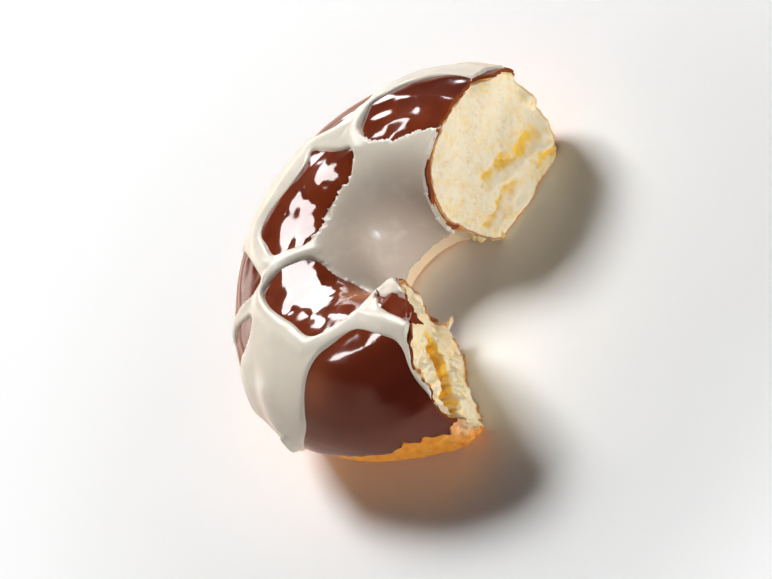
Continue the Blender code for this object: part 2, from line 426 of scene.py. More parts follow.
def attribute(tree, name):
    return addNode(tree, "ShaderNodeAttribute", attribute_name=name).outputs["Fac"]


def bump(tree, shader, height, strength, distance):
    # distance is in millimetres
    values = {"Strength": strength, "Distance": distance * metres}
    node = addNode(tree, "ShaderNodeBump", values, {"Height": height})
    tree.links.new(node.outputs["Normal"], shader.inputs["Normal"])


doughLook = {
    "crumb": (0.98, 0.86, 0.65),
    "mottle": (0.98, 0.76, 0.38),
    "speck": (0.95, 0.69, 0.28),
    # gold lies in creases, pits and hollows: partly the crumb's own golden seams, partly painted shade
    "gold": (0.93, 0.565, 0.035),
    "deep": (0.80, 0.39, 0.012),  # painted shade at the bottom of the deepest creases
    "rind": (0.50, 0.20, 0.045),
    "rindPale": (0.80, 0.58, 0.28),
    "crust": (0.97, 0.385, 0.038),
    "crustDark": (0.80, 0.22, 0.015),
    "crustPale": (0.92, 0.60, 0.22),
    "pale": (0.92, 0.74, 0.52),
}


def makeDoughLook():
    # From the rim inwards: crust, the brown line or its pale rest, then mottled and golden crumb,
    # whose gold in creases, pits and hollows is partly painted shade
    look, tree, shader = newLook("fried_dough")
    inside, gold, pale, brown = (attribute(tree, name) for name in ("inside", "gold", "pale", "brown"))
    wide = mapRange(tree, noiseNode(tree, 2.6, 3.0, 0.6), 0.46, 0.68, 0.0, 0.8)
    crumb = mixColor(tree, wide, doughLook["crumb"], doughLook["mottle"])
    fine = mapRange(tree, noiseNode(tree, 0.7, 2.0, 0.6), 0.56, 0.72)
    patches = mapRange(tree, noiseNode(tree, 3.4, 1.0), 0.40, 0.62, 0.15, 0.75)
    crumb = mixColor(tree, combine(tree, "MULTIPLY", fine, patches), crumb, doughLook["speck"])
    # Golden crumb, partly painted shade in recesses, turns to deep, painted shade, in the deepest creases
    golden = mixColor(tree, mapRange(tree, gold, 0.92, 1.0), doughLook["gold"], doughLook["deep"])
    crumb = mixColor(tree, gold, crumb, golden)
    grain = mapRange(tree, noiseNode(tree, 1.6, 4.0, 0.65), 0.44, 0.70)
    crust = mixColor(tree, grain, doughLook["crust"], doughLook["crustDark"])
    flecks = mapRange(tree, noiseNode(tree, 0.8, 3.0, 0.6), 0.56, 0.66, 0.0, 0.75)
    crust = mixColor(tree, flecks, crust, doughLook["crustPale"])
    crust = mixColor(tree, pale, crust, doughLook["pale"])
    edge = mixColor(tree, brown, doughLook["rindPale"], doughLook["rind"])
    rind = mixColor(tree, mapRange(tree, inside, 0.0, 0.08), crust, edge)
    color = mixColor(tree, mapRange(tree, inside, 0.22, 0.70), rind, crumb)
    tree.links.new(color, shader.inputs["Base Color"])
    setInputs(shader, {
        "Roughness": 0.8, "Specular IOR Level": 0.2, "Subsurface Weight": 0.25,
        "Subsurface Radius": (1.0, 0.75, 0.5), "Subsurface Scale": 1.2 * metres,
    })
    bump(tree, shader, noiseNode(tree, 0.45, 4.0, 0.65), 0.4, 0.12)
    return look


chocolateLook = {
    # thin is the lighter, redder crown and thick the darker outer side: partly the coat's thickness,
    # partly painted light and shade
    "thin": (0.215, 0.034, 0.0095),
    "cloud": (0.150, 0.022, 0.0070),
    "thick": (0.118, 0.0170, 0.0072),
    # lean: painted light at the lighter places, and the colour of broken faces
    "lean": (0.47, 0.145, 0.045),
}


def makeChocolateLook(name="glossy_chocolate", gloss=None, roughness=0.3):
    # Lighter and redder where "thick" is low, from the crown inwards: partly the thinner coat, partly
    # painted light and sheen; darker on the outer side, partly painted shade. Lighter and browner
    # still where "lean" says, which away from the broken faces is painted light. Without a number,
    # its gloss is the mesh's own attribute
    look, tree, shader = newLook(name)
    cloudy = mapRange(tree, noiseNode(tree, 6.0, 3.0), 0.35, 0.68, 0.0, 0.75)
    thin = mixColor(tree, cloudy, chocolateLook["thin"], chocolateLook["cloud"])
    color = mixColor(tree, attribute(tree, "thick"), thin, chocolateLook["thick"])
    color = mixColor(tree, attribute(tree, "lean"), color, chocolateLook["lean"])
    tree.links.new(color, shader.inputs["Base Color"])
    setInputs(shader, {
        "Roughness": roughness, "Specular IOR Level": 0.0, "Coat Roughness": 0.08, "Coat IOR": 1.5,
    })
    if gloss is None:
        tree.links.new(attribute(tree, "gloss"), shader.inputs["Coat Weight"])
    else:
        shader.inputs["Coat Weight"].default_value = gloss
    bump(tree, shader, noiseNode(tree, 1.1, 2.0), 0.12, 0.05)
    return look


icingLook = {
    "thick": (0.84, 0.78, 0.675),
    "thin": (0.76, 0.695, 0.59),
    "sheerAndShaded": (0.63, 0.545, 0.46),  # down the hole: greyer and browner partly as the chocolate shows through the thin icing, partly painted shade of the hole
}


def makeIcingLook():
    # White where it is thick, greyer where it is thin and browner down the hole, where the
    # darkening is partly painted shade
    look, tree, shader = newLook("white_sugar_icing")
    thick = attribute(tree, "thick")
    patchy = combine(tree, "ADD", thick, mapRange(tree, noiseNode(tree, 4.0, 3.0), 0.3, 0.7, -0.12, 0.12))
    thin = mixColor(tree, attribute(tree, "sheerAndShaded"), icingLook["thin"], icingLook["sheerAndShaded"])
    color = mixColor(tree, mapRange(tree, patchy, 0.5, 0.9), thin, icingLook["thick"])
    tree.links.new(color, shader.inputs["Base Color"])
    setInputs(shader, {
        "Roughness": 0.27, "Specular IOR Level": 0.18, "Subsurface Weight": 0.3,
        "Subsurface Radius": (1.0, 0.8, 0.6), "Subsurface Scale": 0.8 * metres,
    })
    bump(tree, shader, noiseNode(tree, 1.2, 5.0, 0.62), 0.22, 0.06)
    return look


# Dough
dough = {
    "around": 400,  # points round the tube
    "stations": 84,  # sections from torn end to torn end
    "caps": 80,  # rings across a torn face
    "underCoat": 0.5,  # how far the skin rises to meet the coat
    "bumps": 0.10,
    "crumbly": 0.55,  # more of them on the torn bare edge at end B
    # pits of a torn face: how many, least radius, how much more at most, depth as a share of it
    "pores": (900, 0.17, 0.42, 0.35),
    # where the crust has come off: theta, phi, half widths, how much
    "torn": ((248.0, -16.0, 5.0, 13.0, 0.8),),
    "crowded": 0.13,  # how much closer together the sections lie at the torn ends
}
# how rough the crumb is, by how much its brown line is wider, how golden it is throughout, and
# bearings between which the rim is bare dough, with no brown line
endA.update(rough=1.0, browned=0.0, tone=0.0, bare=(-80.0, 52.0))
endB.update(rough=2.5, browned=0.8, tone=0.1, bare=(-60.0, -5.0))
# creases of a torn face: from (across, up) to (across, up), depth, half width
endA["creases"] = (
    ((9.6, -7.6), (5.0, -6.0), 0.45, 1.9),
    ((5.0, -6.0), (0.5, -4.1), 0.70, 1.3),
    ((0.5, -4.1), (-5.4, -1.6), 0.55, 1.0),
    ((9.5, -13.2), (4.5, -11.0), 0.50, 1.1),
    ((-1.0, -8.9), (-4.0, -7.4), 0.45, 0.9),
    ((-4.0, -7.4), (-12.4, -8.6), 0.45, 0.9),
)
endB["creases"] = (
    ((-5.5, 0.8), (0.6, 2.1), 2.0, 1.2),
    ((0.6, 2.1), (5.2, 0.1), 2.6, 1.3),
    ((5.2, 0.1), (8.5, -0.8), 1.4, 0.9),
    ((9.0, -0.7), (12.5, -0.5), 2.2, 1.0),
    ((13.0, -0.5), (15.2, -0.6), 1.4, 0.7),
)
# ridges and spikes of a torn face: the same, with height
endA["ridges"] = (
    ((9.0, -11.6), (2.3, -7.8), 0.4, 0.9),
    ((2.3, -7.8), (-5.6, -4.3), 0.4, 0.8),
    ((3.4, -14.0), (-9.2, -11.0), 0.5, 0.9),
    ((-15.4, -8.0), (-13.5, -12.5), 0.6, 0.8),
)
endB["ridges"] = (
    ((-15.1, -7.6), (-14.8, -8.1), 0.7, 0.5),
    ((-14.6, -8.6), (-12.0, -8.6), 0.5, 0.9),
    ((-11.0, -8.0), (10.0, -8.0), 0.7, 2.0),
)


def strokeField(x, y, strokes):
    # Sum over strokes of height times exp(-(distance to the stroke / half width) squared)
    total = np.zeros_like(x)
    for (x0, y0), (x1, y1), height, halfWidth in strokes:
        total += height * np.exp(-lineDistance(x - x0, y - y0, x1 - x0, y1 - y0) / halfWidth**2)
    return total


def poreField(x, y, seed):
    # Round pits scattered over the face: each is share * radius * (1 - (distance / radius)
    # squared), and the deepest counts where they meet
    count, least, more, share = dough["pores"]
    random = np.random.default_rng(seed)
    depth = np.zeros_like(x)
    places = random.uniform((-17.0, -14.5), (17.0, 15.5), (count, 2))
    radii = least + more * random.uniform(0.0, 1.0, count) ** 3
    for (px, py), radius in zip(places, radii):
        part = 1.0 - ((x - px) ** 2 + (y - py) ** 2) / radius**2
        depth = np.maximum(depth, share * radius * np.clip(part, 0.0, None))
    return depth


def faceRelief(end, x, y):
    # Height of the crumb over the plain torn face, in millimetres, and how golden it is: hills,
    # tufts of three sizes and ridges, less creases and pits. All but the hills and the tufts are
    # bent out of line. The gold is laid in creases, pits and low hollows: partly the crumb's own
    # golden seams, partly painted shade in these recesses
    flat = np.stack([x, y, np.full_like(x, 5.0 * end["seed"])], axis=-1)
    bentX = x + 0.8 * noise(flat, 2.2, 4)
    bentY = y + 0.8 * noise(flat, 2.2, 6)
    creases = strokeField(bentX, bentY, end["creases"])
    pores = poreField(bentX, bentY, end["seed"])
    hills = 0.32 * noise(flat, 4.5, 1)
    tufts = 0.17 * noise(flat, 1.7, 2) + 0.10 * noise(flat, 0.85, 3) + 0.05 * noise(flat, 0.45, 8)
    height = hills + end["rough"] * tufts + strokeField(bentX, bentY, end["ridges"]) - creases - pores
    # Gold in low hollows, creases and pits is partly painted shade; beyond 0.92, in the deepest creases,
    # it is painted shade
    low = smooth(-tufts, 0.03, 0.16) * smooth(noise(flat, 3.4, 9), -0.2, 0.5)
    patchy = 0.95 + 0.6 * noise(flat, 1.3, 10) + 0.4 * noise(flat, 0.6, 11)
    gold = patchy * smooth(creases, 0.05, 0.65) + 0.2 * smooth(pores, 0.03, 0.16) + 0.3 * low
    gold = np.clip(gold + end["tone"], 0.0, 0.92) + 0.08 * smooth(creases, 0.8, 1.5)
    return height, gold


def tornFace(end, side, rimSpots, shares):
    # Polar grid over the section: share 1 is the rim, less runs in to the middle of the section.
    # side is the way out of the dough along the ring, -1 or 1
    x = rimSpots[:, 0] * shares[:, None]
    y = rimSpots[:, 1] * shares[:, None]
    height, gold = faceRelief(end, x, y)
    radius = x + ring["radius"]
    turn = (tearAngle(end, x, y + ring["flatDepth"]) * degree) + side * height / radius
    level = np.maximum(y + ring["flatDepth"], 0.0)
    points = np.stack([radius * np.cos(turn), radius * np.sin(turn), level], axis=-1)
    edge = np.hypot(rimSpots[:, 0], rimSpots[:, 1])
    bearing = np.degrees(np.arctan2(rimSpots[:, 1], rimSpots[:, 0]))
    low, high = end["bare"]
    brown = 1.0 - smooth(bearing, low, low + 15.0) * smooth(-bearing, -high, 15.0 - high)
    depth = (1.0 - shares[:, None]) * edge / (1.0 + end["browned"] * brown)
    return points, gold, depth, np.broadcast_to(brown, x.shape)


def skinOffset(theta, phi):
    # The dough's own skin: raised under the coat, slightly bumpy, and far more so on the bare outer
    # side by end B
    spots = skinPoint(theta, phi, 0.0)
    amount = dough["bumps"] + dough["crumbly"] * smooth(theta, 226.0, 246.0) * smooth(-phi, -6.0, 4.0)
    bumps = amount * (0.8 * noise(spots, 3.0, 2) + 0.8 * noise(spots, 1.3, 3) + 0.6 * noise(spots, 0.6, 4))
    return swell(theta, phi) + dough["underCoat"] * smooth(coatDepth(theta, phi), 0.3, 1.8) + bumps


def makeDough():
    # Sections of the tube from torn end to torn end, and a polar grid with a hub over each face
    phi = np.linspace(-100.0, 260.0, dough["around"], endpoint=False)
    shares = 1.0 - np.linspace(0.0, 1.0, dough["caps"], endpoint=False)
    faces, rims = [], []
    for end, side in ((endA, -1.0), (endB, 1.0)):
        theta = rimAngle(end, phi, 0.4)
        spots = skinPoint(theta, phi, skinOffset(theta, phi))
        across = np.hypot(spots[:, 0], spots[:, 1]) - ring["radius"]
        rimSpots = np.stack([across, spots[:, 2] - ring["flatDepth"]], axis=-1)
        face = tornFace(end, side, rimSpots, shares)
        faces.append(face)
        rim = face[0][0]
        rims.append(np.degrees(np.arctan2(rim[:, 1], rim[:, 0])) % 360.0)
    part = crowdEnds(np.linspace(0.0, 1.0, dough["stations"]), dough["crowded"])[:, None]
    theta = rims[0] + (rims[1] - rims[0]) * part
    phis = np.broadcast_to(phi, theta.shape)
    skin = skinPoint(theta, phis, skinOffset(theta, phis))
    pale = smooth(phis, 196.0, 206.0) * smooth(-phis, -246.0, -226.0)
    pale = pale + mounds(theta, phis, dough["torn"])
    plain = np.zeros(theta.shape)
    points, gold, inside, brown = [skin], [plain], [plain], [plain]
    for grid, golden, depth, browned in faces:
        hub = grid[-1].mean(axis=0, keepdims=True)
        points += [grid[1:], hub]
        gold += [golden[1:], golden[-1:].mean(axis=1, keepdims=True)]
        inside += [depth[1:], depth[-1:, :1]]
        brown += [browned[1:], browned[-1:, :1]]
    count = dough["around"]
    sizes = [part.reshape(-1, 3).shape[0] for part in points]
    starts = np.concatenate([[0], np.cumsum(sizes)])
    tube = np.arange(sizes[0]).reshape(theta.shape)
    after = np.roll(tube, -1, axis=1)
    quads = [np.stack([tube[:-1], after[:-1], after[1:], tube[1:]], axis=-1).reshape(-1, 4)]
    triangles = []
    for which, first in ((0, tube[:1]), (1, tube[-1:])):
        start = starts[1 + 2 * which]
        rings = np.arange(sizes[1 + 2 * which]).reshape(-1, count) + start
        rings = np.concatenate([first, rings])
        turned = np.roll(rings, -1, axis=1)
        if which == 0:
            rings, turned = turned, rings
        quads.append(np.stack([rings[:-1], turned[:-1], turned[1:], rings[1:]], axis=-1).reshape(-1, 4))
        hub = np.full(count, starts[2 + 2 * which])
        triangles.append(np.stack([rings[-1], turned[-1], hub], axis=-1))
    points = np.concatenate([part.reshape(-1, 3) for part in points])
    values = {
        "gold": np.concatenate([part.ravel() for part in gold]),
        "inside": np.concatenate([part.ravel() for part in inside]),
        "brown": np.concatenate([part.ravel() for part in brown]),
        "pale": np.concatenate([pale.ravel(), np.zeros(len(points) - pale.size)]),
    }
    return addMesh(
        "dough_and_crumb", points, np.concatenate(quads), np.concatenate(triangles),
        doughFinish, ("dough",), values,
    )


doughFinish = makeDoughLook()
makeDough()


# Chocolate coat
def coatLift(theta, phi):
    # Outer face above the dough: full inside, a quarter round towards both edges, 0 outside
    part = np.clip(coatDepth(theta, phi) / coat["lip"], 0.0, 1.0)
    return coat["outer"] * np.sqrt(1.0 - (1.0 - part) ** 2)


def ripple(theta, phi):
    # Hills and waves drawn out along the ring, as lively as the table says but calmer on the outer
    # side beyond ring angle 180, and a few dents
    calm = 0.7 * smooth(theta, 180.0, 195.0) * smooth(-phi, -100.0, -82.0)
    lively = np.interp(theta, *zip(*coat["lively"])) * (1.0 - calm)
    hills = noise(tubePlace(theta, phi, 2.0), 5.5, 5)
    waves = noise(tubePlace(theta, phi, 2.2), 3.0, 6)
    fine = noise(tubePlace(theta, phi, 1.5), 1.2, 7)
    total = coat["hills"] * (0.6 + 0.4 * lively) * hills
    total = total + lively * (coat["waves"] * waves + coat["fine"] * fine)
    return total + mounds(theta, phi, coat["dents"])


def breakAngle(end, side, phi, offset, back, jag):
    # Ring angle at which a layer breaks off: back from the torn face, and further where it is
    # jagged; side is the way into the dough along the ring, 1 or -1
    at = rimAngle(end, phi, offset)
    jags = jag * np.abs(noise(tubePlace(at + 40.0 * end["seed"], phi), 0.9, 8))
    return at + side * (back + jags) / alongScale(at, phi)


def makeCoat():
    # Grid from edge to edge and break to break, lifted off the dough, and its lower face under it
    row = np.linspace(0.0, 1.0, coat["around"])[None, :]
    part = np.linspace(0.0, 1.0, coat["stations"])[:, None]
    phi = coatLow(0.0 * row) + (coatHigh(0.0 * row + 250.0) - coatLow(0.0 * row)) * row
    back = coat["setback"] - hump(phi, *coat["forward"])
    first = breakAngle(endA, 1.0, phi, coat["breakAt"], back, coat["jags"][0])
    last = breakAngle(endB, -1.0, phi, coat["breakAt"], coat["setback"], coat["jags"][1])
    theta = first + (last - first) * part
    low, high = coatLow(theta), coatHigh(theta)
    phi = low + (high - low) * row
    lift = coatLift(theta, phi)
    base = swell(theta, phi)
    outer = skinPoint(theta, phi, base + lift + ripple(theta, phi) * lift / coat["outer"])
    sunk = (coat["inner"] - coat["tuck"]) * smooth(coatDepth(theta, phi), 0.2, 1.8)
    inner = skinPoint(theta, phi, base + coat["tuck"] + sunk)
    keep = np.ones((theta.shape[0] - 1, theta.shape[1] - 1), bool)
    points, quads = shell(outer, inner, keep)
    # Dark outer side, lighter crown: partly the coat's thickness, partly painted light from above and
    # shade on the side
    thick = np.broadcast_to(1.0 - smooth(phi, *coat["thinsAndLit"]), theta.shape)
    broken = np.broadcast_to((part == 0.0) | (part == 1.0), theta.shape)
    # Broken faces get their own lighter colour; the lighter places elsewhere are painted light
    lean = np.where(broken, coat["brokenLean"], mounds(theta, phi, coat["lean"]))
    values = onBothFaces({"thick": thick, "lean": lean, "gloss": np.where(broken, 0.0, 1.0)})
    look, nodes = chocolateFinish, ("chocolate_coating",)
    return addMesh("chocolate_coat", points, quads, noTriangles, look, nodes, values)


chocolateFinish = makeChocolateLook()
makeCoat()


# White icing
icing = {
    "around": 176,
    "stations": 440,
    # share of the rows, tube angle: most rows lie over the crown, where the net is
    "rows": ((0.0, -22.0), (0.27, 44.0), (0.80, 132.0), (1.0, 213.0)),
    "edge": 2.0,  # tube angle of its outer edge between the drips
    "flood": 0.5,  # thickness where it has spread
    "bead": 0.32,  # distance over which an edge rises
    "under": 0.35,  # how far its lower face lies in the coat
    "bevel": 0.6,  # how much further back its outer face breaks than its lower one, in the hole
    "endRound": 0.28,  # distance from a broken end over which it thickens, outside the hole
    "crowded": 0.11,  # how much closer together the sections lie at the torn ends
    "breakAt": 1.5,  # offset from the skin at which its broken edge is worked out
    "shows": 0.45,  # faces are kept to this far outside its edges, where they lie in the coat
    # tube angles between which it turns into the smoother icing of the hole, and into a sheer one
    # whose darker colour is partly painted shade
    "holeSide": (100.0, 125.0),
    "sheerAndShaded": (108.0, 136.0),
    # behind the crumb at ends A and B, and further back where it is jagged
    "setback": (0.08, 0.10),
    "jags": (0.15, 0.12),
    "bare": (1.5, 47.0, 11.0),  # further back on top of end A: amount, tube angle, half width
    # drips at the outer edge: theta, degrees they hang down, half width
    "drips": (
        (20.0, 7.0, 8.0), (53.0, 9.0, 5.0), (75.0, 5.0, 4.0), (97.0, 8.0, 6.0), (117.0, 11.0, 5.0),
        (163.0, 8.0, 5.0), (175.5, -5.0, 4.0), (192.8, 11.0, 3.4),
    ),
}
# bare cells: corners (theta, phi), and how ragged the side towards the hole is
cells = {
    "crownA": (
        ((2, 60), (23, 59), (35, 58), (44, 61), (50, 67), (57, 71), (60, 79), (65, 91), (61, 103),
         (50, 109), (39, 110), (26, 106), (2, 101)), 0.5,
    ),
    "crownB": (
        ((87, 74), (82, 89), (77, 98), (70, 103), (74, 113), (83, 121), (92, 120), (100, 124),
         (110, 125), (119, 125), (127, 121), (134, 118), (138, 103), (140, 94), (132, 85), (125, 75),
         (117, 78), (107, 85), (98, 86), (91, 83)), 0.5,
    ),
    "crownC": (
        ((155, 86), (150, 100), (147, 113), (145, 124), (155, 134), (174, 145), (190, 153),
         (206, 151), (216, 140), (224, 127), (222, 112), (212, 100), (200, 90), (187, 95), (175, 91),
         (163, 86)), 0.12,
    ),
    "crownD": (
        ((233, 124), (241, 110), (249, 107), (256, 100), (264, 97), (264, 70), (256, 70), (251, 80),
         (248, 88), (243, 97), (238, 108)), 0.2,
    ),
    "sideA": (((16, 28), (30, 30), (43, 26), (48, 8), (46, -26), (14, -26)), 0.0),
    "sideB": (
        ((57, 51), (59, 69), (66, 71), (73, 75), (79, 72), (84, 60), (87, 36), (85, 10), (82, -26),
         (60, -26), (54, 24)), 0.0,
    ),
    "sideC": (((94, 36), (108, 44), (121, 34), (118, 16), (106, 10), (95, 18)), 0.0),
    "sideD": (
        ((124, 20), (127, 48), (132, 64), (140, 77), (150, 87), (155, 80), (153, 56), (152, 20),
         (150, -26), (128, -26)), 0.0,
    ),
    "sideE": (
        ((157, 48), (160, 62), (162, 73), (168, 66), (170, 54), (170, 32), (164, 16), (157, 28)), 0.0,
    ),
    "sideF": (
        ((193, -30), (196, 0), (200, 14), (204, 28), (205.5, 46), (205.2, 66), (208, 80), (214, 87),
         (221, 93), (228, 94), (235, 87), (241, 79), (244.4, 73), (245.6, 64), (244.8, 54),
         (244.7, 46), (245.1, 38), (245.6, 30), (245.2, 24), (245.6, 19), (248, 15), (256, 8),
         (256, -30)), 0.0,
    ),
}
# raised strokes of the net: points (theta, phi), height, half width
strokes = (
    (((6, 46), (25, 46), (43, 50), (54, 61), (63, 76), (69, 92), (69, 104)), 0.45, 1.6),
    (((66, 84), (76, 80), (86, 68), (98, 74), (110, 73), (122, 66), (132, 74), (142, 86), (147, 96)),
     0.45, 1.5),
    (((150, 88), (145, 100), (142, 112), (139, 123)), 0.55, 1.2),
    (((152, 88), (155, 70), (155, 50), (155, 30)), 0.40, 1.0),
    (((152, 84), (162, 81), (174, 85), (187, 88), (201, 84), (212, 93), (221, 102), (228, 110), (231, 122),
      (232, 136)), 0.60, 1.5),
    (((226, 107), (236, 97), (243, 88), (248, 80), (251, 74)), 0.65, 1.4),
    (((228, 116), (232, 126), (240, 128), (248, 122), (255, 112)), 0.50, 1.1),
    (((172, 46), (175, 30), (176, 12)), 0.60, 3.0),
    (((187, 44), (190, 26), (191, 10)), 0.50, 2.6),
    (((192.5, 12), (192.8, -4)), 1.30, 1.5),
)


def roundOutline(corners):
    # Corner cutting, three times: each side keeps its middle half, so the corners become curves
    outline = np.array(corners, float)
    for _ in range(3):
        after = np.roll(outline, -1, axis=0)
        pair = np.stack([0.75 * outline + 0.25 * after, 0.25 * outline + 0.75 * after], axis=1)
        outline = pair.reshape(-1, 2)
    return outline


def sideDistance(theta, phi, scale, t0, p0, t1, p1):
    # Squared way in millimetres to the line from (t0, p0) to (t1, p1) on the tube; scale is
    # alongScale there
    x, y = (theta - t0) * scale, (phi - p0) * aroundScale
    return lineDistance(x, y, (t1 - t0) * scale, (p1 - p0) * aroundScale)


def outlineDistance(theta, phi, outline):
    # Shortest way on the tube to any side of a closed outline, in millimetres, negative inside
    scale = alongScale(theta, phi)
    nearest = np.full(theta.shape, 1e6)
    inside = np.zeros(theta.shape, bool)
    for (t0, p0), (t1, p1) in zip(outline, np.roll(outline, -1, axis=0)):
        nearest = np.minimum(nearest, sideDistance(theta, phi, scale, t0, p0, t1, p1))
        crosses = (phi < p0) != (phi < p1)
        if p0 != p1:
            inside ^= crosses & (theta < t0 + (phi - p0) / (p1 - p0) * (t1 - t0))
    return np.where(inside, -1.0, 1.0) * np.sqrt(nearest)


def cellDistance(theta, phi):
    # Distance to the nearest cell, negative inside one; it counts as 4 at most, and wherever no
    # cell's outline comes within 12 degrees
    distance = np.full(theta.shape, 4.0)
    place = tubePlace(theta, phi)
    for corners, ragged in cells.values():
        outline = roundOutline(corners)
        low, high = outline.min(axis=0) - 12.0, outline.max(axis=0) + 12.0
        near = (theta > low[0]) & (theta < high[0]) & (phi > low[1]) & (phi < high[1])
        found = outlineDistance(theta[near], phi[near], outline)
        if ragged:
            teeth = noise(place[near], 0.9, 12) + 0.6 * noise(place[near], 0.45, 13)
            holeSide = smooth(phi[near], outline[:, 1].mean() + 4.0, outline[:, 1].mean() + 12.0)
            found = found + ragged * teeth * holeSide
        distance[near] = np.minimum(distance[near], found)
    return distance


def icingDepth(theta, phi):
    # How far inside the icing a place lies: from the cells and from its outer and inner edges
    edge = np.full_like(theta, icing["edge"])
    for angle, hang, halfWidth in icing["drips"]:
        edge -= hang * np.exp(-(((theta - angle) / halfWidth) ** 2))
    outerEdge = (phi - edge) * aroundScale
    innerEdge = (icingHigh(theta) - phi) * aroundScale
    return np.minimum(np.minimum(outerEdge, innerEdge), cellDistance(theta, phi))


def strokeHeight(theta, phi):
    # Highest of the raised strokes: height times exp(-(distance / half width) squared)
    scale = alongScale(theta, phi)
    highest = np.zeros_like(theta)
    for path, height, halfWidth in strokes:
        nearest = np.full(theta.shape, 1e6)
        for (t0, p0), (t1, p1) in zip(path, path[1:]):
            nearest = np.minimum(nearest, sideDistance(theta, phi, scale, t0, p0, t1, p1))
        highest = np.maximum(highest, height * np.exp(-nearest / halfWidth**2))
    return highest


def gatherAtEdges(theta, phi):
    # Moves grid points towards the icing's edges, so that the edges get finer faces
    depth = icingDepth(theta, phi)
    scale = alongScale(theta, phi)
    step = 0.02
    slopeX = (icingDepth(theta + step / scale, phi) - depth) / step
    slopeY = (icingDepth(theta, phi + step / aroundScale) - depth) / step
    size = np.maximum(slopeX**2 + slopeY**2, 0.25)
    move = -0.6 * depth * np.exp(-((depth / 0.6) ** 2)) / size
    return theta + move * slopeX / scale, phi + move * slopeY / aroundScale


def makeIcing():
    # Grid from break to break, raised by the flood and the strokes, sunk in the coat where it is
    # bare, and kept only where it shows; its lower face follows the coat
    row = np.linspace(0.0, 1.0, icing["around"])[None, :]
    part = crowdEnds(np.linspace(0.0, 1.0, icing["stations"])[:, None], icing["crowded"])
    phi = np.interp(row, *zip(*icing["rows"]))
    back = icing["setback"][0] + hump(phi, *icing["bare"])
    first = breakAngle(endA, 1.0, phi, icing["breakAt"], back, icing["jags"][0])
    back = icing["setback"][1] + 0.25 * smooth(phi, 8.0, 24.0) * smooth(-phi, -82.0, -68.0)
    last = breakAngle(endB, -1.0, phi, icing["breakAt"], back, icing["jags"][1])
    theta = first + (last - first) * part
    phi = phi + 0.0 * theta
    movedTheta, movedPhi = gatherAtEdges(theta, phi)
    inside = (part > 0.004) & (part < 0.996)
    theta, phi = np.where(inside, movedTheta, theta), np.where(inside, movedPhi, phi)
    fromEnd = np.minimum(theta - first, last - theta) * alongScale(theta, phi)
    outside = 1.0 - smooth(phi, *icing["holeSide"])
    along = np.where(part < 0.5, 1.0, -1.0) * np.exp(-np.clip(fromEnd, 0.0, None) / 0.5)
    outerTheta = theta + icing["bevel"] * (1.0 - outside) * along / alongScale(theta, phi)
    depth = icingDepth(outerTheta, phi)
    uneven = 0.12 * noise(tubePlace(theta, phi), 5.0, 14) + 0.05 * noise(tubePlace(theta, phi), 2.0, 15)
    thickness = icing["flood"] + strokeHeight(outerTheta, phi) + uneven * (0.25 + 0.75 * outside)
    rounded = np.sqrt(np.tanh(np.clip(fromEnd, 0.0, None) / icing["endRound"]))
    thickness = thickness * (1.0 - outside * (1.0 - rounded))
    rise = np.maximum(thickness * np.tanh(depth / icing["bead"]), -icing["under"])
    outer = skinPoint(outerTheta, phi, swell(outerTheta, phi) + coatLift(outerTheta, phi) + rise)
    lower = swell(theta, phi) + coatLift(theta, phi) - icing["under"] - 0.04
    inner = skinPoint(theta, phi, lower)
    deep = depth > -icing["shows"]
    keep = deep[:-1, :-1] | deep[1:, :-1] | deep[1:, 1:] | deep[:-1, 1:]
    points, quads = shell(outer, inner, keep)
    # Sheer, darker icing down the hole: partly thin over the chocolate, partly painted shade
    sheerAndShaded = smooth(phi, *icing["sheerAndShaded"])
    look, nodes, values = icingFinish, ("white_icing",), onBothFaces({"thick": rise, "sheerAndShaded": sheerAndShaded})
    return addMesh("icing_net", points, quads, noTriangles, look, nodes, values)


icingFinish = makeIcingLook()
makeIcing()


# Flake of chocolate that has lifted at end B
flake = {
    "outline": (
        (235, 122), (241, 112), (249, 107), (254.5, 101), (254.2, 95), (255.4, 88), (255.2, 78),
        (256, 71), (253, 75), (250.5, 80), (247.5, 88), (243, 97), (239.5, 106),
    ),
    "grid": (150, 190),
    "thickness": 0.75,
    "lift": 0.15,
    # where it curls up: theta, phi, half width in millimetres, how much
    "curls": ((235.5, 121.0, 1.2, 1.1), (255.5, 73.0, 1.6, 0.7), (250.0, 106.0, 2.0, 0.35)),
}


def makeFlake():
    # A plate that follows the coat, higher where it curls, kept inside a ragged outline
    outline = np.array(flake["outline"], float)
    (lowTheta, lowPhi), (highTheta, highPhi) = outline.min(axis=0) - 2.0, outline.max(axis=0) + 2.0
    across, around = flake["grid"]
    theta, phi = np.meshgrid(
        np.linspace(lowTheta, highTheta, across), np.linspace(lowPhi, highPhi, around), indexing="ij"
    )
    place = tubePlace(theta, phi)
    distance = outlineDistance(theta, phi, outline)
    distance = distance + 0.25 * noise(place, 0.8, 16) + 0.12 * noise(place, 0.35, 17)
    height = coat["outer"] + flake["lift"] + 0.12 * noise(place, 1.6, 18) + swell(theta, phi)
    for atTheta, atPhi, halfWidth, amount in flake["curls"]:
        x, y = (theta - atTheta) * alongScale(theta, phi), (phi - atPhi) * aroundScale
        height = height + amount * np.exp(-(x**2 + y**2) / halfWidth**2)
    outer = skinPoint(theta, phi, height)
    inner = skinPoint(theta, phi, height - flake["thickness"])
    inside = distance < 0.0
    keep = inside[:-1, :-1] & inside[1:, :-1] & inside[1:, 1:] & inside[:-1, 1:]
    points, quads = shell(outer, inner, keep)
    return addMesh("chocolate_flake", points, quads, noTriangles, flakeFinish)


flakeFinish = makeChocolateLook("broken_chocolate", 0.25, 0.45)
makeFlake()


